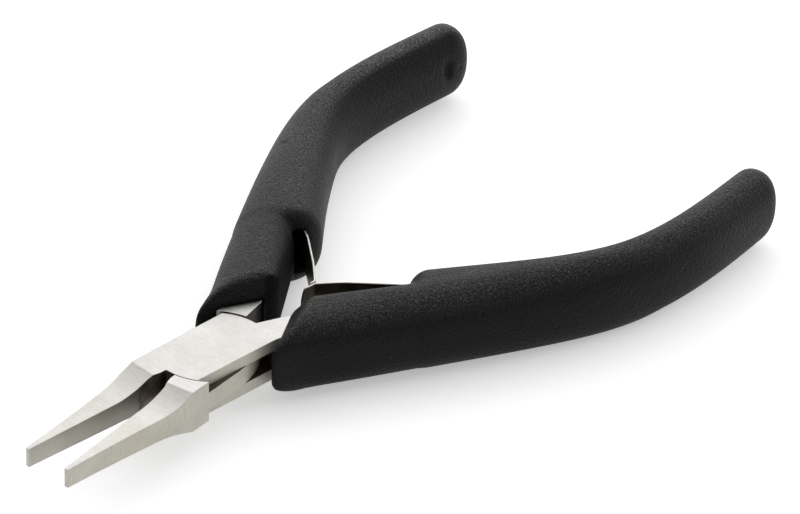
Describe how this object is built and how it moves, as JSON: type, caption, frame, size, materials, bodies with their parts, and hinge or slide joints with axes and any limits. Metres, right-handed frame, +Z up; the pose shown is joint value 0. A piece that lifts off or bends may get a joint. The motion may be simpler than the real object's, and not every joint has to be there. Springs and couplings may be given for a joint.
{
  "type": "flat nose pliers",
  "caption": "Jewellery flat nose pliers: long thin smooth flat jaws, box joint, curved black foam grips and meeting leaf springs that hold the handles open.",
  "frame": {"origin": "on the pivot axis, on the flat underside of the joint", "axes": "+X from the pivot towards the jaw tips along the centre line, +Y towards the grip of the box half, +Z up along the pivot axis"},
  "size_m": [0.1346, 0.076, 0.0137],
  "materials": {
    "steel": "fine satin brushed, along the jaws",
    "spring_steel": "polished, darker than the halves",
    "grip_foam": "matt, finely wrinkled foam skin"
  },
  "bodies": {
    "box_side": {"box_half": "steel", "joint_rivet": "steel", "box_spring_rivet": "spring_steel", "box_grip": "grip_foam"},
    "inner_side": {"inner_half": "steel", "inner_spring_rivet": "spring_steel", "inner_grip": "grip_foam"},
    "box_leaf": {"box_leaf_spring": "spring_steel"},
    "inner_leaf": {"inner_leaf_spring": "spring_steel"}
  },
  "joints": [
    {"name": "pivot", "type": "hinge", "parent": "box_side", "child": "inner_side", "pos_m": [0, 0, 0.00365], "axis": [0, 0, -1], "range_deg": [0, 11.4], "stiffness_Nm_per_rad": 1.2, "springref_deg": -4.58},
    {"name": "box_leaf_flex", "type": "hinge", "parent": "box_side", "child": "box_leaf", "pos_m": [-0.0372, 0.01596, 0.00365], "axis": [0, 0, 1], "range_deg": [0, 9.5], "deforming": ["box_leaf_spring"]},
    {"name": "inner_leaf_flex", "type": "hinge", "parent": "inner_side", "child": "inner_leaf", "pos_m": [-0.0372, -0.01596, 0.00365], "axis": [0, 0, -1], "range_deg": [0, 9.5], "deforming": ["inner_leaf_spring"]}
  ],
  "couplings": [
    {"joint": "box_leaf_flex", "follows": "pivot", "ratio": 0.8},
    {"joint": "inner_leaf_flex", "follows": "pivot", "ratio": 0.8}
  ]
}
